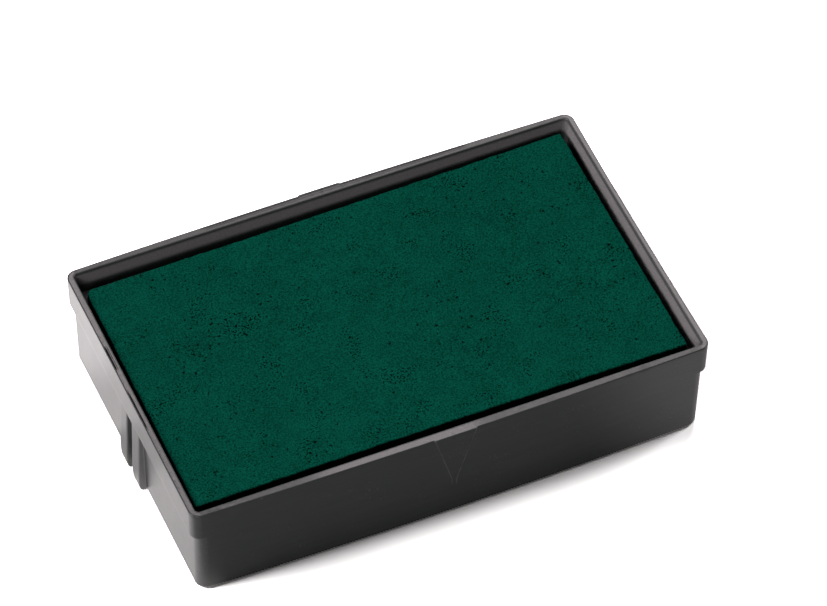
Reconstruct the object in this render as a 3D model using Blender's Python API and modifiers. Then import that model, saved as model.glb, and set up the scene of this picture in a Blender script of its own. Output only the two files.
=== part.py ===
"""Ink pad cassette of a self-inking stamp.

A shallow moulded tray holds the pad: a felt block that stores the ink, bonded to the floor with
an adhesive film, and a thin fine-pored foam face on top of it. Each short end of the tray has a
proud flange, by which the cassette slides into its stamp, and a pair of ribs below the flange.

Metres, +Z up. The origin is the middle of the tray's base and +X runs along the long sides.
"""

import math

import bmesh
import bpy
from mathutils import Matrix, Vector

# Tray, outside
LENGTH = 0.0520            # over the two end flanges, at the rim
WIDTH = 0.0319             # over the long walls at the rim, measured at their ends
HEIGHT = 0.0116
SIDE_BOW = 0.00028         # the long walls stand out this much further in the middle
WALL_DRAFT = 0.0002        # lean of each wall from the rim down to the base
CORNER_RADIUS = 0.0012
BASE_FILLET = 0.0005
RIM_ROUND = 0.0001
FLANGE_STEP = 0.00045      # the flange stands out this far from the end wall
FLANGE_HEIGHT = 0.00345

# Tray, inside
RIM_WALL_END = 0.00057
RIM_WALL_SIDE = 0.00062
LEDGE_THICKNESS = 0.0007   # from the flange's underside up to the ledge inside
WELL_WALL = 0.0009         # walls round the lower well, at the base
FLOOR = 0.0012
POCKET_CORNER = 0.0004

# Ribs on the end walls
RIB_COUNT = 2
RIB_PITCH = 0.0030
RIB_WIDTH = 0.0018
RIB_SETBACK = 0.00004      # the ribs start this far behind the flange's face
RIB_LEAN = 0.00022         # and stand out this much further at the foot
RIB_LIFT = 0.00015         # the ribs end this far above the base
RIB_END_RADIUS = 0.0008
RIB_EDGE_ROUND = 0.0002

# Wedge marks in the middle of the long walls
WEDGE_WIDTH = 0.0042
WEDGE_HEIGHT = 0.0075
WEDGE_PROUD = 0.00012

# Pad
SEAT_GAP = 0.0003          # between layers that rest on each other
FILM_THICKNESS = 0.0002
FILM_INSET = 0.0015        # the film ends this far inside the felt's edge
FELT_CLEARANCE = 0.0004    # from the felt to the well's walls
FOAM_GAP_END = 0.0009      # open gap from the foam to the pocket's end walls
FOAM_GAP_SIDE = 0.00115    # and to its long walls
FOAM_SHIFT = -0.00025      # the foam was laid a little towards the left end
FOAM_RECESS = 0.00072      # from the rim down to the foam's face
FOAM_HOLLOW = 0.00018      # the foam's long edges draw in this much in the middle
FOAM_CORNER = 0.0004
FOAM_ROUND = 0.00015

# Smoothness of round stretches
ARC_STEPS = 6
SIDE_STEPS = 12
ROUND_STEPS = 3
RIB_END_STEPS = 6
SHARP_ANGLE = math.radians(35)
WELD_DISTANCE = 1e-7

# Heights and lengths that follow from the sizes above
FLANGE_UNDERSIDE = HEIGHT - FLANGE_HEIGHT
LEDGE = FLANGE_UNDERSIDE + LEDGE_THICKNESS
POCKET_LENGTH = LENGTH - 2 * RIM_WALL_END
POCKET_WIDTH = WIDTH - 2 * RIM_WALL_SIDE
BASE_LENGTH = LENGTH - 2 * (FLANGE_STEP + WALL_DRAFT)
BASE_WIDTH = WIDTH - 2 * WALL_DRAFT
WELL_LENGTH = BASE_LENGTH - 2 * WELL_WALL
WELL_WIDTH = BASE_WIDTH - 2 * WELL_WALL
FELT_LENGTH = WELL_LENGTH - 2 * FELT_CLEARANCE
FELT_WIDTH = WELL_WIDTH - 2 * FELT_CLEARANCE
FELT_BASE = FLOOR + SEAT_GAP + FILM_THICKNESS + SEAT_GAP
FOAM_BASE = LEDGE + SEAT_GAP


def outline(length, width, corner, bow=0.0, end_step=0.0):
    """Rounded rectangle as points, anticlockwise from the right end's front corner.

    bow swells the long sides in their middle, or hollows them where it is negative.
    end_step pushes the ends out along X and fades to nothing round the corners.
    """
    straight_x = length / 2 - corner
    straight_y = width / 2 - corner
    half = []
    for side in (-1, 1):
        for step in range(ARC_STEPS + 1):
            angle = math.radians(90 * step / ARC_STEPS)
            if side < 0:
                angle -= math.radians(90)
            x = straight_x + (corner + end_step) * math.cos(angle)
            y = side * straight_y + corner * math.sin(angle)
            half.append((x, y))
    for step in range(1, SIDE_STEPS):
        along = 1 - 2 * step / SIDE_STEPS
        half.append((straight_x * along, width / 2 + bow * (1 - along ** 2)))
    return half + [(-x, -y) for x, y in half]


def quarter_turn():
    """Sine and cosine at even steps of a quarter turn, for rounded edges."""
    for step in range(ROUND_STEPS + 1):
        angle = math.radians(90 * step / ROUND_STEPS)
        yield math.sin(angle), math.cos(angle)


def finish_mesh(name, bm):
    """Mesh from bm with its faces turned outwards, smooth except at sharp edges."""
    bmesh.ops.recalc_face_normals(bm, faces=bm.faces)
    mesh = bpy.data.meshes.new(name)
    bm.to_mesh(mesh)
    bm.free()
    mesh.shade_smooth()
    mesh.set_sharp_from_angle(angle=SHARP_ANGLE)
    return mesh


def loft(name, sections):
    """Closed mesh through (height, outline) sections, with the first and the last filled flat."""
    bm = bmesh.new()
    rings = [[bm.verts.new((x, y, z)) for x, y in points] for z, points in sections]
    bm.faces.new(rings[0])
    bm.faces.new(rings[-1])
    for ring, next_ring in zip(rings, rings[1:]):
        for i in range(len(ring)):
            bm.faces.new((ring[i - 1], ring[i], next_ring[i], next_ring[i - 1]))
    bmesh.ops.remove_doubles(bm, verts=bm.verts, dist=WELD_DISTANCE)
    return finish_mesh(name, bm)


def body_outline(height, inset=0.0, end_step=0.0):
    """The tray's outside at a height, drawn in by inset, with the ends pushed out by end_step."""
    drawn_in = 2 * (WALL_DRAFT * (1 - height / HEIGHT) + inset)
    length = LENGTH - 2 * FLANGE_STEP - drawn_in
    return outline(length, WIDTH - drawn_in, CORNER_RADIUS, SIDE_BOW, end_step)


def pocket_outline(spread=0.0):
    """The upper hollow inside the rim, widened by spread where the rim's edge is rounded."""
    return outline(POCKET_LENGTH + 2 * spread, POCKET_WIDTH + 2 * spread, POCKET_CORNER)


def tray_mesh():
    """One skin: up the outside, over the rim, down to the ledge and on to the well's floor."""
    sections = []
    for sine, cosine in quarter_turn():
        height = BASE_FILLET * (1 - cosine)
        sections.append((height, body_outline(height, BASE_FILLET * (1 - sine))))
    sections.append((FLANGE_UNDERSIDE, body_outline(FLANGE_UNDERSIDE)))
    sections.append((FLANGE_UNDERSIDE, body_outline(FLANGE_UNDERSIDE, 0.0, FLANGE_STEP)))
    for sine, cosine in quarter_turn():
        height = HEIGHT - RIM_ROUND * (1 - sine)
        sections.append((height, body_outline(height, RIM_ROUND * (1 - cosine), FLANGE_STEP)))
    for sine, cosine in quarter_turn():
        height = HEIGHT - RIM_ROUND * (1 - cosine)
        sections.append((height, pocket_outline(RIM_ROUND * (1 - sine))))
    well = outline(WELL_LENGTH, WELL_WIDTH, POCKET_CORNER)
    sections.append((LEDGE, pocket_outline()))
    sections.append((LEDGE, well))
    sections.append((FLOOR, well))
    return loft("tray", sections)


def rib_mesh(end, across):
    """Rib at one end of the tray, rooted in the wall and the flange, with its lower end rounded."""
    root = BASE_LENGTH / 2 - WELL_WALL / 2
    face = LENGTH / 2 - WALL_DRAFT * FLANGE_HEIGHT / HEIGHT - RIB_SETBACK
    foot = RIB_LIFT
    top = FLANGE_UNDERSIDE + LEDGE_THICKNESS / 2
    size = Vector((face - root, RIB_WIDTH, top - foot))
    centre = Vector((end * (face + root) / 2, across, (top + foot) / 2))
    bm = bmesh.new()
    bmesh.ops.create_cube(bm, size=1, matrix=Matrix.LocRotScale(centre, None, size))
    foot_verts = [v for v in bm.verts if end * v.co.x > end * centre.x and v.co.z < centre.z]
    for vert in foot_verts:
        vert.co.x += end * RIB_LEAN
    foot_edge = [edge for edge in bm.edges if all(vert in foot_verts for vert in edge.verts)]
    bmesh.ops.bevel(
        bm, geom=foot_edge, offset=RIB_END_RADIUS, segments=RIB_END_STEPS, profile=0.5, affect="EDGES"
    )
    return finish_mesh("rib", bm)


def wedge_mesh(side):
    """Thin triangle on a long wall, wide under the rim and pointed below, rooted in the wall."""
    wall_top = WIDTH / 2 + SIDE_BOW
    wall_tip = wall_top - WALL_DRAFT * WEDGE_HEIGHT / HEIGHT
    root = WIDTH / 2 - RIM_WALL_SIDE / 2
    top = HEIGHT - RIM_ROUND
    tip = top - WEDGE_HEIGHT
    bm = bmesh.new()
    for x in (-WEDGE_WIDTH / 2, WEDGE_WIDTH / 2):
        bm.verts.new((x, side * root, top))
        bm.verts.new((x, side * (wall_top + WEDGE_PROUD), top))
    bm.verts.new((0, side * root, tip))
    bm.verts.new((0, side * (wall_tip + WEDGE_PROUD), tip))
    bmesh.ops.convex_hull(bm, input=bm.verts)
    return finish_mesh("wedge", bm)


def slab_mesh(name, length, width, thickness):
    """Plain layer with slightly rounded corners, standing on its own base."""
    points = outline(length, width, POCKET_CORNER)
    return loft(name, [(0.0, points), (thickness, points)])


def foam_mesh():
    """Foam layer cut with slightly hollow long edges, its upper edge a little rounded."""
    thickness = HEIGHT - FOAM_RECESS - FOAM_BASE
    length = POCKET_LENGTH - 2 * FOAM_GAP_END
    width = POCKET_WIDTH - 2 * FOAM_GAP_SIDE
    sections = [(0.0, outline(length, width, FOAM_CORNER, -FOAM_HOLLOW))]
    for sine, cosine in quarter_turn():
        drawn_in = 2 * FOAM_ROUND * (1 - cosine)
        height = thickness - FOAM_ROUND * (1 - sine)
        points = outline(length - drawn_in, width - drawn_in, FOAM_CORNER, -FOAM_HOLLOW)
        sections.append((height, points))
    return loft("foam_face", sections)


def material(name, colour, roughness):
    """Plain dielectric with the piece's colour, in linear values."""
    made = bpy.data.materials.new(name)
    made.use_nodes = True
    shader = made.node_tree.nodes["Principled BSDF"]
    shader.inputs["Base Color"].default_value = (*colour, 1.0)
    shader.inputs["Roughness"].default_value = roughness
    shader.inputs["Metallic"].default_value = 0.0
    return made


def add_part(mesh, finish, location=(0.0, 0.0, 0.0)):
    """Object for one piece, in the object's collection and under its empty."""
    part = bpy.data.objects.new(mesh.name, mesh)
    part.data.materials.append(finish)
    part.location = location
    part.parent = assembly
    parts.objects.link(part)
    return part


def join(body, mesh, edge_round=0.0):
    """Union of a helper mesh with the body, its edges rounded first where edge_round says so."""
    helper = bpy.data.objects.new(mesh.name, mesh)
    helper.hide_render = True
    helper.display_type = "WIRE"
    helpers.objects.link(helper)
    if edge_round:
        bevel = helper.modifiers.new("Rounded edges", "BEVEL")
        bevel.width = edge_round
        bevel.segments = ROUND_STEPS
        bevel.limit_method = "ANGLE"
        bevel.angle_limit = SHARP_ANGLE
    union = body.modifiers.new(helper.name, "BOOLEAN")
    union.operation = "UNION"
    union.solver = "EXACT"
    union.object = helper


for old in list(bpy.data.objects):
    bpy.data.objects.remove(old)

parts = bpy.data.collections.new("Ink pad")
helpers = bpy.data.collections.new("Ribs and wedges")
bpy.context.scene.collection.children.link(parts)
bpy.context.scene.collection.children.link(helpers)
assembly = bpy.data.objects.new("ink_pad", None)
parts.objects.link(assembly)

black_plastic = material("black moulded plastic", (0.018, 0.018, 0.018), 0.45)
clear_adhesive = material("clear adhesive", (0.42, 0.38, 0.26), 0.35)
inked_felt = material("inked felt", (0.0, 0.035, 0.022), 0.95)
green_foam = material("green inked foam", (0.0, 0.075, 0.045), 0.85)

tray = add_part(tray_mesh(), black_plastic)
for tray_end in (-1, 1):
    for rib in range(RIB_COUNT):
        join(tray, rib_mesh(tray_end, RIB_PITCH * (rib - (RIB_COUNT - 1) / 2)), RIB_EDGE_ROUND)
for long_side in (-1, 1):
    join(tray, wedge_mesh(long_side))

film_length = FELT_LENGTH - 2 * FILM_INSET
film_width = FELT_WIDTH - 2 * FILM_INSET
film = slab_mesh("adhesive_film", film_length, film_width, FILM_THICKNESS)
add_part(film, clear_adhesive, (0.0, 0.0, FLOOR + SEAT_GAP))
felt = slab_mesh("felt_reservoir", FELT_LENGTH, FELT_WIDTH, FOAM_BASE - SEAT_GAP - FELT_BASE)
add_part(felt, inked_felt, (0.0, 0.0, FELT_BASE))
add_part(foam_mesh(), green_foam, (FOAM_SHIFT, 0.0, FOAM_BASE))
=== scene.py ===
"""Ink pad cassette of a self-inking stamp: a black moulded tray with a green inked foam face.

Lengths are in metres. +X runs along the long sides, +Y to the back and +Z up out of the foam.
"""

import math
import random
from collections import namedtuple

import bpy
from mathutils import Matrix, Vector, noise


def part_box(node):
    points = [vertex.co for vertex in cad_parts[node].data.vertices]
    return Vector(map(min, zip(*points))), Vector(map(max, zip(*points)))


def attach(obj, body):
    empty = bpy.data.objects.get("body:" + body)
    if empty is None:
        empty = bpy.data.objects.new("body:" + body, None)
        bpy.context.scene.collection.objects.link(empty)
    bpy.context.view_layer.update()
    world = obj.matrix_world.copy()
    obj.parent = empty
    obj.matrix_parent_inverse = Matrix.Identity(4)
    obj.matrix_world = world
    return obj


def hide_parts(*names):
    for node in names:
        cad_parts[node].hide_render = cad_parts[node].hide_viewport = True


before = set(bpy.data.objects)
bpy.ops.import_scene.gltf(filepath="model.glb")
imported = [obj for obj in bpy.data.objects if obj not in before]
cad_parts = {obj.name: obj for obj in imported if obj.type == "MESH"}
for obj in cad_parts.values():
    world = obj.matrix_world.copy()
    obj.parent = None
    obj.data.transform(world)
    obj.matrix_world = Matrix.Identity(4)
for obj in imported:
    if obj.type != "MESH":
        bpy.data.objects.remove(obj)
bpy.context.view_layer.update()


# Tray
# One injection moulding in black styrene with a satin skin: a floor, a deep well, a ledge and a thin
# raised rim. Each end has a slide flange and two guide ribs with rounded feet, and a shallow wedge
# stands out in the middle of each long wall. It is drawn straight up and down out of its mould.
MM = 0.001
tray_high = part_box("tray")[1]
rim_height = tray_high.z
wedge_proud = 0.12 * MM
wedge_tip_proud = 0.03 * MM
wedge_half_width = 2.10 * MM
wedge_tip_half_width = 0.25 * MM
wedge_tip = 4.10 * MM
wedge_tip_fade = 0.50 * MM
wedge_flank = 0.06
wedge_reach = 1.2
wedge_step = 0.05
wedge_clear = 1.4
wedge_line = 0.06 * MM
wedge_line_reach = 0.17
# Painted highlight on the wedge's two edges, stronger on the right.
wedge_line_highlight = {"left": 0.20, "right": 0.42}
side_bow = 0.28 * MM
base_bow = 0.12 * MM
rib_foot_proud = 0.12 * MM
flange_half = tray_high.x - rib_foot_proud
side_half = tray_high.y - wedge_proud - side_bow
flange_step = 0.45 * MM
flange_underside = 8.15 * MM
side_draft = 0.24 * MM
end_draft = 0.16 * MM
right_flare = 0.12 * MM
right_hollow = 0.2
left_flare = 0.048 * MM
corner_round = 1.00 * MM
wall_corner_extra = 0.08 * MM
base_fillet = 0.44 * MM
flange_root = 0.10 * MM
flange_edge = 0.02 * MM
rim_outer_round = 0.11 * MM
rim_inner_round = 0.12 * MM
rim_slope = 0.02 * MM
pocket_half_x = 25.43 * MM
pocket_half_y = 15.33 * MM
pocket_corner = 0.40 * MM
pocket_draft = 0.05 * MM
left_rim_extra = 0.10 * MM
right_wall_draft = 0.30 * MM
ledge_height = 8.85 * MM
ledge_edge = 0.03 * MM
ledge_drop = 0.22 * MM
well_half_x = 24.45 * MM
well_half_y = 14.85 * MM
well_corner = 0.60 * MM
well_rows = (0.3, 0.7)
floor_height = 1.20 * MM
floor_fillet = 0.30 * MM
rib_places = (-1.5 * MM, 1.5 * MM)
rib_half_width = 0.90 * MM
rib_fillet = 0.16 * MM
rib_fillet_share = 0.16
rib_edge = 0.15 * MM
rib_edge_share = 0.24
rib_crown_step = 0.35 * MM
rib_side_draft = 0.03 * MM
rib_setback = 0.10 * MM
rib_foot = 0.05 * MM
rib_foot_depth = 0.26 * MM
rib_foot_rise = 2.40 * MM
rib_top = 8.50 * MM
gate_radius = 1.40 * MM
gate_depth = 0.22 * MM
gate_edge = 0.05 * MM
gate_stub_radius = 0.45 * MM
gate_stub_tip_radius = 0.405 * MM
gate_stub_depth = 0.08 * MM
skin_step = 0.40 * MM
foot_rows = [0.56 * MM, 0.63 * MM, 0.72 * MM, 0.83 * MM, 0.95 * MM, 1.1 * MM, 1.3 * MM]
wall_rows_start = 1.6 * MM
wall_row_step = 0.4 * MM
wall_rows = 16
flange_rows = 8
corner_steps = 14
round_steps = 5
small_round_steps = 3
mould_wave = 0.006 * MM
mould_wavelength = 5.0 * MM

# Beyond these the points of the rim belong to its ends and to its front and back.
end_rim = 25.0 * MM
long_rim = 15.0 * MM

# The rim carries two fine lines. A groove says where they run along the left rim and how deep each is.
# A rim ring says how far across the rim it lies, in which line, how deep in it and how much painted shade
# darkens it.
Groove = namedtuple("Groove", "front back outer inner")
RimRing = namedtuple("RimRing", "across line depth ink")
left_grooves = (
    Groove(3.05 * MM, 6.0 * MM, 1.0, 0.9),
    Groove(-4.25 * MM, 0.2 * MM, 0.8, 0.0),
    Groove(-12.5 * MM, 8.0 * MM, 0.12, 0.0),
)
rim_profile = (
    RimRing(0.01, "outer", 0.0, 0.6),
    RimRing(0.17, "outer", 1.0, 1.0),
    RimRing(0.32, "outer", 0.0, 1.0),
    RimRing(0.35, "outer", 0.0, 0.0),
    RimRing(0.46, "inner", 0.0, 0.0),
    RimRing(0.48, "inner", 0.0, 1.0),
    RimRing(0.55, "inner", 0.6, 1.0),
    RimRing(0.62, "inner", 0.0, 1.0),
    RimRing(0.64, "inner", 0.0, 0.0),
    RimRing(0.85, "inner", 0.0, 0.0),
)
groove_depth = 0.26 * MM
back_groove_share = 0.35
back_groove_inner = 0.5
back_groove_middle = 1.6 * MM
back_groove_half = 14.2 * MM
back_groove_fade = 1.0 * MM
nick_depth = 0.06 * MM
nick_size = 0.9 * MM
nick_range = (0.25, 0.6)

# How much painted light turns the rim and the pocket pale grey, from 0 for plain polished plastic to 1 for
# the most; with it the plastic grows rougher, like the core's matt side.
# Painted light on the rim's top: more on the right and left, where the lamps fall, than at the front and
# back, with random wear flecks and a painted pale band in the front's middle.
rim_front_light = 0.16
rim_back_light = 0.11
rim_right_light = 0.47
rim_left_light = 0.32
rim_left_back_light = 0.13
rim_pale_band_light = 0.50
rim_wear = 0.5
rim_wear_patch = 2.5 * MM
rim_wear_fleck = 0.4 * MM
rim_end_edge = (25.0 * MM, 25.3 * MM)
rim_front_edge = (-15.2 * MM, -14.8 * MM)
rim_left_fade = (-6.0 * MM, 4.0 * MM)
pale_band_start = (-16.0 * MM, -11.0 * MM)
pale_band_end = (1.0 * MM, 3.6 * MM)
# Painted light on the rim's inner rounding: a little on the right and none elsewhere, so a painted dark line
# runs along the rim's inner edge.
inner_round_light = 0.15
# Painted light on the pocket's walls, most on the right wall, which faces the left lamp; lower down it fades
# into painted shade, sooner towards the back of the right wall.
pocket_light = 0.63
pocket_rows = ((0.12, 1.0), (0.45, 1.0), (0.57, 0.7), (0.66, 0.15), (1.0, 0.0))
right_shade_start = (0.50, 0.75)
right_shade_power = 3

# A station is a place on the walk round the tray, the same at every height. It lies along a straight
# by a share of it, across a rib in metres, along a wedge by shares of its half width, or round a
# corner in degrees. Its share says how far it stands out with the rib.
Station = namedtuple("Station", "kind side_x side_y along share")


def quarter_turn(steps=round_steps):
    """Sine and cosine at even steps of a quarter turn, for rounded edges and fillets."""
    angles = [math.radians(90 * step / steps) for step in range(steps + 1)]
    return [(math.sin(angle), math.cos(angle)) for angle in angles]


def soft_step(value, low, high):
    """0 below low, 1 above high and smooth in between."""
    share = min(1.0, max(0.0, (value - low) / (high - low)))
    return share * share * (3 - 2 * share)


def rib_section():
    """Across one rib: (distance from its middle, share of its height), with fillets at its roots."""
    root = rib_half_width + rib_side_draft + rib_fillet
    half = []
    for sine, cosine in quarter_turn():
        half.append((root - rib_fillet * sine, rib_fillet_share * (1 - cosine)))
    for sine, cosine in quarter_turn():
        half.append((rib_half_width - rib_edge * (1 - cosine), 1 - rib_edge_share * (1 - sine)))
    crown = [(step * rib_crown_step, 1.0) for step in (-1, 0, 1)]
    return [(-across, share) for across, share in half] + crown + half[::-1]


def end_walk(side):
    """Stations along one end, from front to back on the right and back to front on the left."""
    straight = side_half - corner_round
    root = rib_half_width + rib_side_draft + rib_fillet
    free = straight + rib_places[0] - root
    steps = round(free / skin_step)
    shares = [-1 + step / steps * free / straight for step in range(1, steps)]
    plain = [Station("end", side, 0, share, 0) for share in shares]
    ribs = []
    for place in rib_places:
        ribs += [Station("rib", side, 0, place + across, share) for across, share in rib_section()]
    mirrored = [station._replace(along=-station.along) for station in reversed(plain)]
    walk = plain + ribs + mirrored
    return walk if side > 0 else walk[::-1]


def long_walk(side):
    """Stations along one long side: left to right at the front, right to left at the back."""
    straight = flange_half - flange_step - corner_round
    free = straight - wedge_clear * wedge_half_width
    steps = round(free / skin_step)
    shares = [-1 + step / steps * free / straight for step in range(1, steps + 1)]
    plain = [Station("long", 0, side, share, 0) for share in shares]
    wedge_steps = round(2 * wedge_reach / wedge_step)
    shares = [wedge_step * step - wedge_reach for step in range(wedge_steps + 1)]
    wedge = [Station("wedge", 0, side, share, 0) for share in shares]
    mirrored = [station._replace(along=-station.along) for station in reversed(plain)]
    walk = plain + wedge + mirrored
    return walk if side < 0 else walk[::-1]


def corner_walk(side_x, side_y, start):
    """Stations round one corner, a quarter turn from the angle start in degrees."""
    angles = [start + 90 * step / corner_steps for step in range(corner_steps + 1)]
    return [Station("corner", side_x, side_y, angle, 0) for angle in angles]


tray_walk = end_walk(1) + corner_walk(1, 1, 0) + long_walk(1) + corner_walk(-1, 1, 90)
tray_walk += end_walk(-1) + corner_walk(-1, -1, 180) + long_walk(-1) + corner_walk(1, -1, 270)


def wedge_width(height):
    """Half the wedge's width at a height. It never quite closes, so the skin stays even."""
    share = (height - wedge_tip) / (rim_height - wedge_tip)
    return max(wedge_tip_half_width, wedge_half_width * min(1.0, share))


def rib_face(height):
    """How far out the ribs reach at a height, with the foot rounded off; nothing above and below."""
    if height < rib_foot or height > rib_top:
        return 0.0
    down = (rib_top - height) / (rib_top - rib_foot)
    face = flange_half - rib_setback + (rib_foot_proud + rib_setback) * down
    below = (rib_foot + rib_foot_rise - height) / rib_foot_rise
    if below > 0:
        face -= rib_foot_depth * (1 - math.sqrt(1 - below ** 2))
    return face


def flare(side, share):
    """How far an end stands out at a share of its width: hollow on the right, bent out at the back left."""
    if side > 0:
        return right_flare * (min(1.0, share * share) - right_hollow)
    return left_flare * min(1.0, max(0.0, share)) ** 2


def tray_ring(height, half_x, half_y, corner, bow=0.0):
    """The walk's points at one height, on a rectangle with rounded corners.

    Only the outside has a bow. There the long sides carry the wedges, the ends carry the ribs and
    flare a little, and the walls have the slight waves of a cooled moulding.
    """
    outside = bow > 0
    straight_x = half_x - corner
    straight_y = half_y - corner
    rib_stand = max(0.0, rib_face(height) - half_x) if outside else 0.0
    wedge_rise = max(0.0, (height - wedge_tip) / (rim_height - wedge_tip))
    wedge_stand = wedge_tip_proud + (wedge_proud - wedge_tip_proud) * wedge_rise
    wedge_stand *= soft_step(height, wedge_tip, wedge_tip + wedge_tip_fade) if outside else 0.0
    points = []
    for station in tray_walk:
        wall = Vector((station.side_x, station.side_y, 0))
        if station.kind == "corner":
            angle = math.radians(station.along)
            x = station.side_x * straight_x + corner * math.cos(angle)
            y = station.side_y * straight_y + corner * math.sin(angle)
            wall = Vector((0, 0, 0))
        elif station.side_x:
            x = station.side_x * (half_x + station.share * rib_stand)
            y = station.along if station.kind == "rib" else station.along * straight_y
        else:
            wedge = station.kind == "wedge"
            x = station.along * (wedge_width(height) if wedge else straight_x)
            y = half_y + bow * (1 - (x / straight_x) ** 2)
            if wedge:
                y += wedge_stand * (1 - soft_step(abs(station.along), 1 - wedge_flank, 1 + wedge_flank))
            y *= station.side_y
        point = Vector((x, y, height))
        if outside:
            point.x += station.side_x * flare(station.side_x, y / straight_y)
            point += wall * mould_wave * noise.noise(point / mould_wavelength)
        points.append(point)
    return points


def tray_outside(height, inset=0.0, flange=0.0):
    """Outside of the tray at a height; inset draws it in and flange pushes only its ends out."""
    down = 1 - height / rim_height
    half_x = flange_half - flange_step - end_draft * down - inset + flange
    half_y = side_half - side_draft * down - inset - base_bow * down
    corner = corner_round + wall_corner_extra * (1 - flange / flange_step)
    return tray_ring(height, half_x, half_y, corner, side_bow + base_bow * down)


def tray_pocket(height, spread=0.0):
    """Inside of the rim at a height, widened by spread, with a thicker left rim and a leaning right wall."""
    down = (rim_height - height) / (rim_height - ledge_height)
    spread -= pocket_draft * down
    ring = tray_ring(height, pocket_half_x + spread, pocket_half_y + spread, pocket_corner)
    for point in ring:
        drawn_in = left_rim_extra if point.x < 0 else right_wall_draft * down
        point.x *= 1 - drawn_in / pocket_half_x
    return ring


def tray_well(height, spread=0.0):
    """Lower hollow at a height, widened by spread."""
    return tray_ring(height, well_half_x + spread, well_half_y + spread, well_corner)


def round_spot(points, radius, height):
    """Points at the same angles as the given ones, on a circle in the middle of the tray."""
    spot = []
    for point in points:
        flat = Vector((point.x, point.y, 0)).normalized() * radius
        spot.append(Vector((flat.x, flat.y, height)))
    return spot


def groove_shares(point):
    """How deep the rim's two lines are at a point: faint at the back, in blunt lengths on the left."""
    if point.y > long_rim:
        from_end = back_groove_half - abs(point.x - back_groove_middle)
        share = back_groove_share * soft_step(from_end, 0.0, back_groove_fade)
        return {"outer": share, "inner": back_groove_inner * share}
    met = [groove for groove in left_grooves if groove.front < point.y < groove.back]
    if point.x > -end_rim or not met:
        return {"outer": 0.0, "inner": 0.0}
    deepest = max(met, key=lambda groove: groove.outer)
    return {"outer": deepest.outer, "inner": deepest.inner}


def nick(point):
    """How far small nicks cut into the front rim's outer edge at a point."""
    if point.y > -long_rim:
        return 0.0
    return nick_depth * soft_step(noise.noise(point / nick_size), *nick_range)


def pale_band(point):
    """How much painted light brightens a band of the front rim at a point, from 0 to 1, from the wedge to
    the left.
    """
    if point.y > -long_rim:
        return 0.0
    return soft_step(point.x, *pale_band_start) * (1 - soft_step(point.x, *pale_band_end))


def rim_painted_light(point):
    """How much painted light the rim's top has at a point: most on the right, least at the front outside its
    pale band.
    """
    wear = noise.noise(point / rim_wear_patch) * noise.noise(point / rim_wear_fleck)
    left = rim_left_light + rim_left_back_light * soft_step(point.y, *rim_left_fade)
    matt = rim_front_light + rim_wear * wear
    matt += rim_back_light * soft_step(point.y, *rim_front_edge)
    matt += rim_right_light * soft_step(point.x, *rim_end_edge)
    matt += left * soft_step(-point.x, *rim_end_edge)
    matt += rim_pale_band_light * pale_band(point)
    return min(1.0, max(0.0, matt))


def wall_painted_highlight(station, height):
    """How much painted highlight the outside has at a station: a pale line on each edge of the wedge, the
    right one stronger.
    """
    if station.kind != "wedge" or height < wedge_tip:
        return 0.0
    from_edge = abs(abs(station.along) - 1)
    if from_edge > wedge_line_reach or from_edge * wedge_width(height) > wedge_line:
        return 0.0
    return wedge_line_highlight["right" if station.along > 0 else "left"]


def pocket_wall_painted_light(station, lit_share):
    """How much painted light the pocket's wall has at a station: most on the right, where towards the back
    it fades sooner into painted shade down the wall.
    """
    if station.side_x > 0 and not station.side_y:
        return 1 - (1 - lit_share ** right_shade_power) * soft_step(station.along, *right_shade_start)
    return pocket_light * lit_share


def gate_rings():
    """Rings of the round gate mark with its broken-off stub, in the middle of the underside."""
    base = tray_outside(0.0, base_fillet)
    steps = (
        (gate_stub_tip_radius, gate_stub_depth),
        (gate_stub_radius, gate_depth),
        (gate_radius - gate_edge, gate_depth),
        (gate_radius, gate_edge),
        (gate_radius + gate_edge, 0.0),
    )
    return [round_spot(base, radius, height) for radius, height in steps]


def wall_rings():
    """Rings up the outside: the base's rounding, the walls, the flange and the rim's outer rounding.

    The rows of the walls are closest at the rounded feet of the ribs.
    """
    rings = []
    for sine, cosine in quarter_turn():
        rings.append(tray_outside(base_fillet * (1 - cosine), base_fillet * (1 - sine)))
    heights = foot_rows + [wall_rows_start + wall_row_step * row for row in range(wall_rows)]
    rings += [tray_outside(height) for height in heights]
    for sine, cosine in quarter_turn():
        height = flange_underside - flange_root * (1 - sine)
        rings.append(tray_outside(height, 0.0, flange_root * (1 - cosine)))
    flange_low = flange_underside + flange_edge
    for sine, cosine in quarter_turn():
        height = flange_underside + flange_edge * (1 - cosine)
        rings.append(tray_outside(height, 0.0, flange_step - flange_edge * (1 - sine)))
    for row in range(1, flange_rows):
        height = flange_low + (rim_height - rim_outer_round - flange_low) * row / flange_rows
        rings.append(tray_outside(height, 0.0, flange_step))
    for sine, cosine in quarter_turn():
        height = rim_height - rim_slope - rim_outer_round * (1 - sine)
        ring = tray_outside(height, rim_outer_round * (1 - cosine), flange_step)
        for point in ring:
            cut = nick(point)
            point.y += cut * sine
            point.z -= cut * sine
        rings.append(ring)
    return rings


def rim_rings(outer):
    """Rings over the rim's top from its outer ring, with its grooves, and how much painted light each point
    has.
    """
    inner = tray_pocket(rim_height, rim_inner_round)
    rings = []
    matt = []
    for across, line, depth, groove_shade in rim_profile:
        ring = [a.lerp(b, across) for a, b in zip(outer, inner)]
        for point in ring:
            groove = groove_shares(point)[line]
            # Painted shade in the rim's lines: less painted light where they run.
            matt.append(rim_painted_light(point) * (1 - groove_shade * groove))
            point.z -= groove_depth * depth * groove
        rings.append(ring)
    return rings, matt


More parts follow.
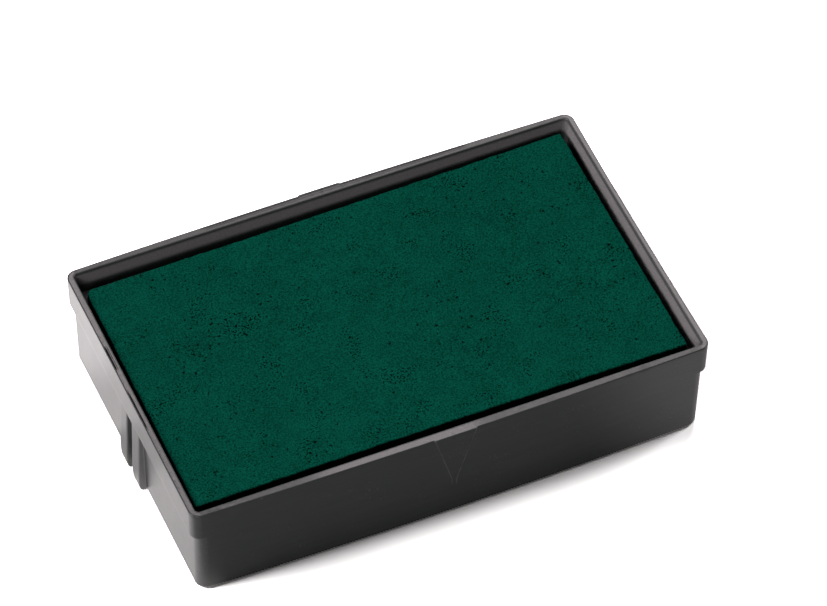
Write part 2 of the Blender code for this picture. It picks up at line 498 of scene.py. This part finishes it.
def pocket_rings():
    """Rings from the rim's inner rounding down to the ledge, and how much painted light each point has."""
    rings = []
    matt = []
    for sine, cosine in quarter_turn():
        height = rim_height - rim_inner_round * (1 - cosine)
        rings.append(tray_pocket(height, rim_inner_round * (1 - sine)))
        # Painted shade: the inner rounding stays dark, a little lighter on the right.
        matt += [inner_round_light if station.side_x > 0 else 0.0 for station in tray_walk]
    top = rim_height - rim_inner_round
    for share, lit_share in pocket_rows:
        rings.append(tray_pocket(top + (ledge_height - top) * share))
        matt += [pocket_wall_painted_light(station, lit_share) for station in tray_walk]
    return rings, matt


def well_rings():
    """Rings from the ledge's lower edge down the well to the rounded edge of its floor."""
    rings = []
    for sine, cosine in quarter_turn(small_round_steps):
        height = ledge_height - ledge_drop - ledge_edge * (1 - cosine)
        rings.append(tray_well(height, ledge_edge * (1 - sine)))
    for share in well_rows:
        rings.append(tray_well(ledge_height + (floor_height - ledge_height) * share))
    for sine, cosine in quarter_turn(small_round_steps):
        height = floor_height + floor_fillet * (1 - sine)
        rings.append(tray_well(height, -floor_fillet * (1 - cosine)))
    return rings


def tray_rings():
    """Rings from the gate mark up the outside, over the rim and down to the floor, and how much painted
    light they have.
    """
    outside = gate_rings() + wall_rings()
    rim, rim_points_matt = rim_rings(outside[-1])
    pocket, pocket_points_matt = pocket_rings()
    well = well_rings()
    matt = [wall_painted_highlight(station, ring[0].z) for ring in outside for station in tray_walk]
    matt += rim_points_matt + pocket_points_matt
    matt += [0.0] * (len(well) * len(tray_walk))
    return outside + rim + pocket + well, matt


def smooth_piece(name, points, faces, sharp_from):
    """New piece with smooth shading, apart from its edges that turn by more than sharp_from degrees."""
    mesh = bpy.data.meshes.new(name)
    mesh.from_pydata(points, [], faces)
    mesh.update()
    mesh.shade_smooth()
    mesh.set_sharp_from_angle(angle=math.radians(sharp_from))
    piece = bpy.data.objects.new(name, mesh)
    bpy.context.scene.collection.objects.link(piece)
    return piece


def piece_from_rings(name, rings):
    """Closed piece with a skin through the rings and its first and last ring filled flat."""
    count = len(rings[0])
    points = [point for points in rings for point in points]
    faces = [tuple(range(count - 1, -1, -1))]
    for row in range(len(rings) - 1):
        for i in range(count):
            near = row * count + i
            far = row * count + (i + 1) % count
            faces.append((near, far, far + count, near + count))
    last = (len(rings) - 1) * count
    faces.append(tuple(range(last, last + count)))
    piece = smooth_piece(name, points, faces, sharp_from=50)
    weighting = piece.modifiers.new("even shading", "WEIGHTED_NORMAL")
    weighting.keep_sharp = True
    return piece


class Tone:
    """A value in a material's nodes. Sums and products of tones add Math nodes."""

    def __init__(self, tree, socket=None):
        self.tree = tree
        self.socket = socket

    def add(self, kind, settings, inputs, output=0):
        """Adds any node: first its settings, then the values or links of its sockets."""
        node = self.tree.nodes.new(kind)
        for name, setting in settings.items():
            setattr(node, name, setting)
        for name, value in inputs.items():
            if isinstance(value, Tone):
                self.tree.links.new(value.socket, node.inputs[name])
            else:
                node.inputs[name].default_value = value
        return Tone(self.tree, node.outputs[output])

    def sum(self, operation, first, second):
        """Adds a Math node for two tones or numbers."""
        return self.add("ShaderNodeMath", {"operation": operation}, {0: first, 1: second})

    def __add__(self, other):
        return self.sum("ADD", self, other)

    __radd__ = __add__

    def __sub__(self, other):
        return self.sum("SUBTRACT", self, other)

    def __rsub__(self, other):
        return self.sum("SUBTRACT", other, self)

    def __mul__(self, other):
        return self.sum("MULTIPLY", self, other)

    __rmul__ = __mul__


def speckle(tone, size, detail=2.0, roughness=0.5, stretch=(1.0, 1.0, 1.0)):
    """Noise between 0 and 1 with spots of about the given size."""
    place = tone.add("ShaderNodeTexCoord", {}, {}, "Object")
    place = tone.add("ShaderNodeVectorMath", {"operation": "MULTIPLY"}, {0: place, 1: stretch})
    inputs = {"Vector": place, "Scale": 1 / size, "Detail": detail, "Roughness": roughness}
    return tone.add("ShaderNodeTexNoise", {}, inputs)


def ramp(tone, low, high):
    """0 where tone is below low, 1 where it is above high; the other way round if low is the higher."""
    inputs = {"Value": tone, "From Min": low, "From Max": high}
    return tone.add("ShaderNodeMapRange", {"interpolation_type": "SMOOTHSTEP"}, inputs)


def tint(mask, first, second):
    """First colour where mask is 0, second where it is 1."""
    return mask.add("ShaderNodeMix", {"data_type": "RGBA"}, {0: mask, 6: first, 7: second}, 2)


def bump(tone, depth, strength=1.0):
    """Surface direction from a relief that is depth high where tone is 1."""
    return tone.add("ShaderNodeBump", {}, {"Height": tone, "Distance": depth, "Strength": strength})


def blank_material(name):
    """New material without nodes, and the tone that adds its first ones."""
    material = bpy.data.materials.new(name)
    material.use_nodes = True
    material.node_tree.nodes.clear()
    return material, Tone(material.node_tree)


def coat(material, shader):
    """Puts a shader on the material's surface."""
    output = material.node_tree.nodes.new("ShaderNodeOutputMaterial")
    material.node_tree.links.new(shader.socket, output.inputs["Surface"])


polished_colours = ((0.0222, 0.0244, 0.0233, 1), (0.0268, 0.0294, 0.0281, 1))
# Pale grey of the painted light that lightens the rim, the pocket walls and the wedge's edges.
painted_light_colours = ((0.154, 0.140, 0.144, 1), (0.272, 0.248, 0.255, 1))
speck_colour = (0.16, 0.155, 0.15, 1)
grain_size = 0.10 * MM
grain_depth = 0.004 * MM
cloud_size = 3.0 * MM
streak_size = 1.2 * MM
streak_stretch = (0.25, 1.0, 2.2)
speck_size = 0.16 * MM


def black_plastic():
    """Satin black plastic: fine mould grain, faint flow streaks, rare pale specks and matt inner faces, with
    painted light that turns parts pale grey.
    """
    material, start = blank_material("black_plastic")
    # Painted light: this attribute mixes the plastic towards pale grey and makes it a little rougher, as a
    # matt inner finish.
    core_and_light = start.add("ShaderNodeAttribute", {"attribute_name": "core_and_painted_light"}, {}, "Fac")
    grain = speckle(start, grain_size, 3.0, 0.6)
    cloud = speckle(start, cloud_size, 3.0)
    streak = speckle(start, streak_size, 4.0, 0.6, streak_stretch)
    speck = ramp(speckle(start, speck_size, 1.0), 0.70, 0.76) * ramp(cloud, 0.45, 0.65)
    polished = tint(ramp(streak, 0.35, 0.75), *polished_colours)
    painted_lit = tint(ramp(grain, 0.3, 0.7), *painted_light_colours)
    colour = tint(speck, tint(core_and_light, polished, painted_lit), speck_colour)
    roughness = 0.30 + 0.08 * grain + 0.06 * cloud + 0.25 * speck + 0.12 * core_and_light
    relief = bump(grain + 0.2 * streak, grain_depth)
    inputs = {"Base Color": colour, "Roughness": roughness, "Normal": relief, "IOR": 1.5}
    coat(material, start.add("ShaderNodeBsdfPrincipled", {}, inputs))
    return material


# For each point, how much painted light turns the plastic pale grey.
skin_rings, skin_light = tray_rings()
tray = piece_from_rings("moulded_tray", skin_rings)
core_and_painted_light = tray.data.attributes.new("core_and_painted_light", "FLOAT", "POINT")
core_and_painted_light.data.foreach_set("value", skin_light)
tray.data.materials.append(black_plastic())
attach(tray, "root")
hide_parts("tray")


# Adhesive film
# A thin sheet of clear pressure-sensitive adhesive, slightly yellow, that holds the felt down on the
# tray's floor. It is cut with rounded corners and rolled on, so its face has small waves and bubbles.
film_low, film_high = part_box("adhesive_film")
film_corner = 1.5 * MM
film_edge = 0.05 * MM
film_rows = 36
film_side_step = 1.0 * MM
film_wave = 0.03 * MM
film_wavelength = 4.0 * MM
film_colours = ((0.42, 0.38, 0.26, 1), (0.55, 0.52, 0.42, 1))
film_streak_size = 2.0 * MM
film_streak_stretch = (0.15, 1.0, 1.0)
film_bubble_size = 0.5 * MM
film_relief = 0.01 * MM
outline_corner_steps = 6
layer_inner_share = 0.02


def rounded_outline(low, high, corner, side_step):
    """Points round a rectangle with rounded corners, anticlockwise from the right end's back."""
    middle = (low + high) / 2
    half_x = (high.x - low.x) / 2 - corner
    half_y = (high.y - low.y) / 2 - corner
    points = []
    for side_x, side_y, start in ((1, 1, 0), (-1, 1, 90), (-1, -1, 180), (1, -1, 270)):
        for step in range(outline_corner_steps + 1):
            angle = math.radians(start + 90 * step / outline_corner_steps)
            x = side_x * half_x + corner * math.cos(angle)
            y = side_y * half_y + corner * math.sin(angle)
            points.append(Vector((middle.x + x, middle.y + y, 0)))
    evened = []
    for point, following in zip(points, points[1:] + points[:1]):
        cuts = max(1, round((following - point).length / side_step))
        evened += [point.lerp(following, cut / cuts) for cut in range(cuts)]
    return evened


def layer_rings(outline, low, high, edge, rows):
    """Rings of a flat layer: from the middle of its underside, round its edge, to its middle on top."""
    middle = Vector((sum(p.x for p in outline), sum(p.y for p in outline), 0)) / len(outline)
    shares = [layer_inner_share + (1 - layer_inner_share) * row / rows for row in range(rows)]

    def spread(share, height):
        return [middle + (point - middle) * share + Vector((0, 0, height)) for point in outline]

    def drawn_in(inset, height):
        ring = []
        for point in outline:
            reach = (point - middle).length
            ring.append(middle + (point - middle) * ((reach - inset) / reach) + Vector((0, 0, height)))
        return ring

    rings = [spread(share, low) for share in shares]
    for sine, cosine in quarter_turn(small_round_steps):
        rings.append(drawn_in(edge * (1 - sine), low + edge * (1 - cosine)))
    for sine, cosine in quarter_turn(small_round_steps):
        rings.append(drawn_in(edge * (1 - cosine), high - edge * (1 - sine)))
    return rings + [spread(share, high) for share in reversed(shares)]


def film_piece():
    """The film, with gentle uneven waves on both faces."""
    outline = rounded_outline(film_low, film_high, film_corner, film_side_step)
    rings = layer_rings(outline, film_low.z, film_high.z, film_edge, film_rows)
    for points in rings:
        for point in points:
            point.z += film_wave * noise.noise(point / film_wavelength)
    return piece_from_rings("adhesive_sheet", rings)


def clear_adhesive():
    """Slightly yellow adhesive: glossy, with small trapped bubbles and rolled-on streaks."""
    material, start = blank_material("clear_adhesive")
    streak = speckle(start, film_streak_size, 3.0, 0.5, film_streak_stretch)
    bubble = ramp(speckle(start, film_bubble_size, 1.0), 0.66, 0.72)
    colour = tint(bubble, *film_colours)
    roughness = 0.22 + 0.25 * streak + 0.2 * bubble
    inputs = {"Base Color": colour, "Roughness": roughness, "Normal": bump(bubble + streak, film_relief)}
    coat(material, start.add("ShaderNodeBsdfPrincipled", {}, inputs))
    return material


film = film_piece()
film.data.materials.append(clear_adhesive())
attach(film, "root")
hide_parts("adhesive_film")


# Felt reservoir
# A block of pressed fibre felt, die-cut to the well and soaked with green ink. It lies on the film and
# feeds the foam above it. Its cut sides are a little ragged and its faces are matted fibres.
felt_low, felt_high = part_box("felt_reservoir")
felt_corner = 0.8 * MM
felt_edge = 0.30 * MM
felt_rows = 40
felt_sides = 10
felt_side_step = 0.6 * MM
felt_fibre = 0.05 * MM
felt_fibre_size = 0.5 * MM
felt_colours = ((0.0, 0.016, 0.011, 1), (0.002, 0.055, 0.035, 1))
felt_hair_size = 0.25 * MM
felt_hair_along = (0.3, 1.6, 1.0)
felt_hair_across = (1.6, 0.3, 1.0)
felt_cloud_size = 4.0 * MM
felt_relief = 0.05 * MM
felt_sheen = 0.15


def felt_rings():
    """Rings of the felt block with fibres standing unevenly on its faces and sides."""
    outline = rounded_outline(felt_low, felt_high, felt_corner, felt_side_step)
    rings = layer_rings(outline, felt_low.z, felt_high.z, felt_edge, felt_rows)
    upper = felt_rows + small_round_steps + 1
    sides = []
    for step in range(1, felt_sides):
        share = step / felt_sides
        sides.append([a.lerp(b, share) for a, b in zip(rings[upper - 1], rings[upper])])
    rings[upper:upper] = sides
    for points in rings:
        for point in points:
            fibre = noise.noise_vector(point / felt_fibre_size) * felt_fibre
            point += fibre - Vector((point.x, point.y, 0)).normalized() * felt_fibre
            point.z = min(felt_high.z, max(felt_low.z, point.z))
    return rings


def inked_felt():
    """Ink-soaked felt: dark green, matted with short fibres that lie every way."""
    material, start = blank_material("inked_felt")
    along = speckle(start, felt_hair_size, 3.0, 0.7, felt_hair_along)
    across = speckle(start, felt_hair_size, 3.0, 0.7, felt_hair_across)
    cloud = speckle(start, felt_cloud_size, 2.0)
    fibre = 0.5 * along + 0.5 * across
    inputs = {
        "Base Color": tint(ramp(fibre, 0.35, 0.68), *felt_colours),
        "Roughness": 0.78 + 0.15 * cloud + 0.07 * fibre,
        "Normal": bump(fibre, felt_relief),
        "Sheen Weight": felt_sheen,
    }
    coat(material, start.add("ShaderNodeBsdfPrincipled", {}, inputs))
    return material


felt = piece_from_rings("felt_block", felt_rings())
felt.data.materials.append(inked_felt())
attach(felt, "root")
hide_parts("felt_reservoir")


# Foam face
# A thin sheet of fine-pored foam that lies loose on the felt's rim and is wet with dark green ink. It
# is cut by hand a little out of square, so its back edge runs askew and one corner is clipped.
foam_low, foam_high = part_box("foam_face")
foam_front_left = Vector((-24.92 * MM, -14.17 * MM, 0))
foam_front_right = Vector((24.36 * MM, -14.22 * MM, 0))
foam_back_right = Vector((24.36 * MM, 14.36 * MM, 0))
foam_back_left = Vector((-24.75 * MM, 13.68 * MM, 0))
foam_clip = Vector((0.35 * MM, -0.21 * MM, 0))
foam_clip_reach = 0.70 * MM
foam_front_hollow = 0.17 * MM
foam_back_hollow = 0.13 * MM
foam_edge = 0.09 * MM
foam_edge_rows = (0.0, 0.1, 0.3, 0.6, 1.0)
foam_cell = 0.11 * MM
foam_ragged = 0.05 * MM
foam_ragged_fine = 0.45 * MM
foam_ragged_coarse = 1.6 * MM
foam_ragged_reach = 0.5 * MM
foam_unevenness = 0.03 * MM
foam_uneven_size = 6.0 * MM
foam_grain = 0.02 * MM
foam_grain_size = 0.5 * MM
foam_sides = 10
foam_side_ragged = 0.04 * MM
foam_side_ragged_size = 0.35 * MM
foam_colours = ((0.0004, 0.026, 0.0170, 1), (0.0012, 0.071, 0.0468, 1))
# Near black of the painted shade in the pores and on the cut sides.
foam_shade_colour = (0.0001, 0.002, 0.0015, 1)
foam_shade_top = 0.08 * MM
foam_shade_foot = 0.30 * MM
foam_cell_size = 0.16 * MM
foam_fine_pore_size = 0.17 * MM
foam_patch_size = 1.4 * MM
foam_cluster_size = 2.8 * MM
foam_cloud_size = 6.0 * MM
foam_relief = 0.02 * MM
pore_seed = 20
pore_count = 320
pore_clusters = 26
pore_strewn_every = 3
pore_cluster_half = (24.0 * MM, 13.5 * MM)
pore_cluster_spread = (1.8 * MM, 1.3 * MM)
pore_strewn_low = (-24.4 * MM, -13.8 * MM)
pore_strewn_high = (24.0 * MM, 13.8 * MM)
pore_radius = (0.09 * MM, 0.13 * MM)
pore_wide_share = 0.12
pore_widening = 1.3
pore_depth = 0.16 * MM
pore_bowl = 0.7
pore_cell = 0.4 * MM


def foam_spacing(length):
    """Shares from 0 to 1 along a side, close together at its ends where the cut edge is rounded."""
    edge = [foam_edge * share / length for share in foam_edge_rows]
    inner = 1 - 2 * edge[-1]
    steps = round(length * inner / foam_cell)
    middle = [edge[-1] + inner * step / steps for step in range(1, steps)]
    return edge + middle + [1 - share for share in reversed(edge)]


def foam_place(u, v):
    """Point of the cut sheet at the shares u along and v across it, with slightly hollow sides."""
    front = foam_front_left.lerp(foam_front_right, u)
    back = foam_back_left.lerp(foam_back_right, u)
    point = front.lerp(back, v)
    point.y += 4 * u * (1 - u) * (foam_front_hollow * (1 - v) - foam_back_hollow * v)
    clipped = max(0.0, 1 - (point - foam_back_left).length / foam_clip_reach)
    return point + foam_clip * clipped * clipped


def foam_pores():
    """Open pores as (x, y, radius), one in three strewn evenly and the others in loose clusters."""
    draw = random.Random(pore_seed)
    half_x, half_y = pore_cluster_half
    spread_x, spread_y = pore_cluster_spread
    centres = []
    for _ in range(pore_clusters):
        centres.append((draw.uniform(-half_x, half_x), draw.uniform(-half_y, half_y)))
    pores = []
    for index in range(pore_count):
        radius = draw.uniform(*pore_radius)
        if draw.random() < pore_wide_share:
            radius *= pore_widening
        if index % pore_strewn_every:
            x, y = centres[draw.randrange(pore_clusters)]
            x += draw.gauss(0, spread_x)
            y += draw.gauss(0, spread_y)
        else:
            x = draw.uniform(pore_strewn_low[0], pore_strewn_high[0])
            y = draw.uniform(pore_strewn_low[1], pore_strewn_high[1])
        pores.append((x, y, radius))
    return pores


def pore_square(x, y):
    """The square of a coarse grid that a place is in, for finding the pores near it."""
    return round(x / pore_cell), round(y / pore_cell)


def pores_by_square():
    """The pores that can reach into each square of the coarse grid."""
    squares = {}
    for pore in foam_pores():
        column, row = pore_square(pore[0], pore[1])
        for i in (-1, 0, 1):
            for j in (-1, 0, 1):
                squares.setdefault((column + i, row + j), []).append(pore)
    return squares


def pore_opening(point, squares):
    """How far open the foam is at a point, from 0 beside a pore to 1 in its middle."""
    opening = 0.0
    for x, y, radius in squares.get(pore_square(point.x, point.y), ()):
        reach = math.hypot(point.x - x, point.y - y) / radius
        if reach < 1:
            opening = max(opening, (1 - reach * reach) ** pore_bowl)
    return opening


def foam_skin(along, across, length, width):
    """Points of the foam's top, row by row, and how far open each is."""
    squares = pores_by_square()
    points = []
    openings = []
    for v in across:
        for u in along:
            point = foam_place(u, v)
            from_edge = min(u * length, (1 - u) * length, v * width, (1 - v) * width)
            ragged = noise.noise_vector(point / foam_ragged_fine)
            ragged += noise.noise_vector(point / foam_ragged_coarse)
            near_edge = 1 - soft_step(from_edge, 0.0, foam_ragged_reach)
            point += Vector((ragged.x, ragged.y, 0)) * foam_ragged * near_edge
            opening = pore_opening(point, squares)
            low = max(0.0, foam_edge - from_edge)
            sink = foam_edge - math.sqrt(foam_edge ** 2 - low ** 2)
            sink += foam_unevenness * (0.5 + noise.noise(point / foam_uneven_size))
            sink += foam_grain * (0.5 + noise.noise(point / foam_grain_size))
            sink += pore_depth * opening
            point.z = foam_high.z - max(0.0, sink)
            points.append(point)
            openings.append(opening)
    return points, openings


def grid_faces(columns, rows):
    """Faces of a grid of points that is stored row by row."""
    faces = []
    for row in range(rows - 1):
        for column in range(columns - 1):
            corner = row * columns + column
            faces.append((corner, corner + 1, corner + columns + 1, corner + columns))
    return faces


def grid_rim(columns, rows):
    """Points round the edge of such a grid, from its front left corner along the front."""
    rim = list(range(columns))
    rim += [row * columns + columns - 1 for row in range(1, rows)]
    rim += [(rows - 1) * columns + column for column in range(columns - 2, -1, -1)]
    rim += [row * columns for row in range(rows - 2, 0, -1)]
    return rim


def foam_piece():
    """The cut sheet: a close grid on top with open pores, ragged sides and a flat underside."""
    length = (foam_front_right - foam_front_left).length
    width = (foam_back_right - foam_front_right).length
    along = foam_spacing(length)
    across = foam_spacing(width)
    points, openings = foam_skin(along, across, length, width)
    faces = grid_faces(len(along), len(across))
    rim = grid_rim(len(along), len(across))
    upper = rim
    for step in range(1, foam_sides + 1):
        lower = []
        for index in rim:
            top = points[index]
            height = top.z + (foam_low.z - top.z) * step / foam_sides
            point = Vector((top.x, top.y, height))
            rough = noise.noise_vector(point / foam_side_ragged_size)
            point += Vector((rough.x, rough.y, 0)) * foam_side_ragged
            lower.append(len(points))
            points.append(point)
        for i in range(len(rim)):
            following = (i + 1) % len(rim)
            faces.append((upper[following], upper[i], lower[i], lower[following]))
        upper = lower
    middle = len(points)
    points.append(Vector((0, 0, foam_low.z)))
    for i in range(len(upper)):
        faces.append((upper[(i + 1) % len(upper)], upper[i], middle))
    openings += [0.0] * (len(points) - len(openings))
    piece = smooth_piece("foam_sheet", points, faces, sharp_from=60)
    open_pore = piece.data.attributes.new("open_pore", "FLOAT", "POINT")
    open_pore.data.foreach_set("value", openings)
    return piece


def inked_foam():
    """Wet foam: dark green and mottled, with fine cells and a matt inked skin; painted shade darkens its
    open pores, fine pores and cut sides.
    """
    material, start = blank_material("inked_foam")
    pore = start.add("ShaderNodeAttribute", {"attribute_name": "open_pore"}, {}, "Fac")
    place = start.add("ShaderNodeTexCoord", {}, {}, "Object")
    height = start.add("ShaderNodeSeparateXYZ", {}, {"Vector": place}, "Z")
    # Painted shade on the cut sides, darker below the top edge.
    side = ramp(height, foam_high.z - foam_shade_top, foam_high.z - foam_shade_foot)
    cells = speckle(start, foam_cell_size, 2.0, 0.6)
    patches = speckle(start, foam_patch_size, 3.0, 0.6)
    cloud = speckle(start, foam_cloud_size, 2.0)
    cluster = ramp(speckle(start, foam_cluster_size, 2.0), 0.50, 0.70)
    fine_pore = ramp(speckle(start, foam_fine_pore_size, 0.0) + 0.15 * cluster, 0.72, 0.80)
    mottle = ramp(0.78 * cells + 0.165 * patches + 0.115 * cloud, 0.39, 0.67)
    # Painted shade in the pits, the fine pores and on the sides.
    shade = ramp(pore + 0.80 * fine_pore + side, 0.05, 0.85)
    inputs = {
        "Base Color": tint(shade, tint(mottle, *foam_colours), foam_shade_colour),
        "Roughness": 0.78 + 0.2 * cells,
        "Normal": bump(cells - 0.8 * fine_pore, foam_relief, 0.5),
        "Specular IOR Level": 0.01,
    }
    coat(material, start.add("ShaderNodeBsdfPrincipled", {}, inputs))
    return material


foam = foam_piece()
foam.data.materials.append(inked_foam())
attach(foam, "root")
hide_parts("foam_face")


# Studio
# A white table between two soft lamps, a strong one on the left and a weaker one on the right, with a
# lamp at the back for the rim and one in front that lights only the pad. The table carries a painted
# reflection: in the black plastic's gloss it glows on the left, so the left end shines. The lens is long
# and looks down from the left.
floor_half = 1.5
floor_below = 0.00002
black = (0.0, 0.0, 0.0, 1.0)
white = (1.0, 1.0, 1.0, 1.0)
room_colour = (0.05, 0.05, 0.05, 1)
table_dim = (0.30, 0.30, 0.30, 1)
table_bright = (2.95, 2.86, 2.87, 1)
glow_colour = (1.0, 0.94, 0.95, 1)
glow_strength = 2.8
glow_left = (-22.0 * MM, -25.6 * MM)
glow_right = (14.0 * MM, 27.0 * MM)
glow_front = (-18.6 * MM, -15.0 * MM)
glow_middle = (-16.0 * MM, 2.0 * MM)
glow_back = (9.5 * MM, 15.5 * MM)
# Painted shadow of the ribs in the table's glow, so their flanks look dark in gloss.
rib_shadow_front = (-1.8 * MM, 0.4 * MM)
rib_shadow_back = (6.0 * MM, 4.4 * MM)
rib_shadow_near = (-29.5 * MM, -27.5 * MM)
rib_shadow_far_share = 0.6
rib_shadow_loss = 0.31
glow_level = 0.52
glow_middle_gain = 0.13
glow_back_gain = 0.335
glow_front_share = 0.2
gloss_level = 0.01
gloss_right_gain = 0.185
gloss_left_gain = 0.99
lamp_distance = 0.7
back_lamp_colour = (1.0, 0.93, 0.945)
camera_azimuth = math.radians(-24.031)
camera_elevation = math.radians(49.862)
camera_roll = math.radians(0.755)
camera_distance = 554.97 * MM
camera_aim_right = 2.656 * MM
camera_aim_up = 8.080 * MM
camera_lens = 254.74
camera_sensor = 36.0


def white_table():
    """White table top: bright for the camera, dimmer in bounced light, and lit on its left in gloss.

    The painted glow on the left is strongest at the back, with a painted shadow beside the ribs, and fades
    in front.
    """
    material, start = blank_material("white_table")
    rays = ("Is Camera Ray", "Is Glossy Ray", "Is Transmission Ray")
    seen, glossy, through = [start.add("ShaderNodeLightPath", {}, {}, ray) for ray in rays]
    place = start.add("ShaderNodeTexCoord", {}, {}, "Object")
    along = start.add("ShaderNodeSeparateXYZ", {}, {"Vector": place}, "X")
    across = start.add("ShaderNodeSeparateXYZ", {}, {"Vector": place}, "Y")
    rib_shadow = ramp(across, *rib_shadow_front) * ramp(across, *rib_shadow_back)
    rib_shadow = rib_shadow * (rib_shadow_far_share + (1 - rib_shadow_far_share) * ramp(along, *rib_shadow_near))
    level = glow_level + glow_middle_gain * ramp(across, *glow_middle)
    level = level + glow_back_gain * ramp(across, *glow_back)
    front = glow_front_share + (1 - glow_front_share) * ramp(across, *glow_front)
    lit_left = ramp(along, *glow_left) * front * (level - rib_shadow_loss * rib_shadow)
    lit_right = ramp(along, *glow_right)
    gloss = gloss_level + gloss_right_gain * lit_right + gloss_left_gain * lit_left
    mirrored = (glossy + through) * gloss
    glow_inputs = {"Color": tint(mirrored, black, glow_colour), "Strength": glow_strength}
    glow = start.add("ShaderNodeEmission", {}, glow_inputs)
    dim = start.add("ShaderNodeBsdfDiffuse", {}, {"Color": table_dim})
    bright = start.add("ShaderNodeBsdfDiffuse", {}, {"Color": table_bright})
    matt = start.add("ShaderNodeMixShader", {}, {0: seen, 1: dim, 2: bright})
    coat(material, start.add("ShaderNodeAddShader", {}, {0: glow, 1: matt}))
    return material


floor_mesh = bpy.data.meshes.new("table_top")
floor_corners = [(-1, -1), (1, -1), (1, 1), (-1, 1)]
floor_points = [(x * floor_half, y * floor_half, -floor_below) for x, y in floor_corners]
floor_mesh.from_pydata(floor_points, [], [(0, 1, 2, 3)])
floor = bpy.data.objects.new("table_top", floor_mesh)
floor.data.materials.append(white_table())
bpy.context.scene.collection.objects.link(floor)

world = bpy.data.worlds.new("studio")
world.use_nodes = True
world.node_tree.nodes.clear()
sky = Tone(world.node_tree)
seen = sky.add("ShaderNodeLightPath", {}, {}, "Is Camera Ray")
backdrop = sky.add("ShaderNodeBackground", {}, {"Color": tint(seen, room_colour, white)})
world_output = world.node_tree.nodes.new("ShaderNodeOutputWorld")
world.node_tree.links.new(backdrop.socket, world_output.inputs["Surface"])
bpy.context.scene.world = world


def soft_lamp(name, azimuth, elevation, width, height, power):
    """Soft lamp that is turned towards the pad, at angles in degrees from +X and from the table."""
    azimuth, elevation = math.radians(azimuth), math.radians(elevation)
    level = math.cos(elevation)
    towards = Vector((level * math.cos(azimuth), level * math.sin(azimuth), math.sin(elevation)))
    lamp_data = bpy.data.lights.new(name, "AREA")
    lamp_data.shape = "RECTANGLE"
    lamp_data.size = width
    lamp_data.size_y = height
    lamp_data.energy = power
    lamp = bpy.data.objects.new(name, lamp_data)
    lamp.location = towards * lamp_distance
    lamp.rotation_mode = "QUATERNION"
    lamp.rotation_quaternion = towards.to_track_quat("Z", "Y")
    bpy.context.scene.collection.objects.link(lamp)
    return lamp


soft_lamp("left_lamp", azimuth=171.3, elevation=43, width=0.18, height=0.24, power=3.8)
soft_lamp("right_lamp", azimuth=3.4, elevation=42, width=0.18, height=0.24, power=1.5)
back_lamp = soft_lamp("back_lamp", azimuth=55, elevation=49, width=0.20, height=0.20, power=1.1)
back_lamp.data.color = back_lamp_colour
pad_fill = soft_lamp("pad_fill", azimuth=240, elevation=30, width=0.20, height=0.20, power=2.1)
pad_only = bpy.data.collections.new("pad_only")
for piece in (tray, film, felt, foam):
    pad_only.objects.link(piece)
pad_fill.light_linking.receiver_collection = pad_only

lens = bpy.data.cameras.new("long_lens")
lens.sensor_width = camera_sensor
lens.lens = camera_lens
camera = bpy.data.objects.new("long_lens", lens)
cos_elevation = math.cos(camera_elevation)
camera_back = Vector((
    math.sin(camera_azimuth) * cos_elevation,
    -math.cos(camera_azimuth) * cos_elevation,
    math.sin(camera_elevation),
))
level_right = Vector((math.cos(camera_azimuth), math.sin(camera_azimuth), 0))
level_up = camera_back.cross(level_right)
camera_right = level_right * math.cos(camera_roll) + level_up * math.sin(camera_roll)
camera_up = level_up * math.cos(camera_roll) - level_right * math.sin(camera_roll)
turn = Matrix((camera_right, camera_up, camera_back)).transposed()
aim = camera_right * camera_aim_right + camera_up * camera_aim_up
camera.matrix_world = Matrix.Translation(aim + camera_back * camera_distance) @ turn.to_4x4()
bpy.context.scene.collection.objects.link(camera)
bpy.context.scene.camera = camera
bpy.context.scene.view_settings.view_transform = "Standard"
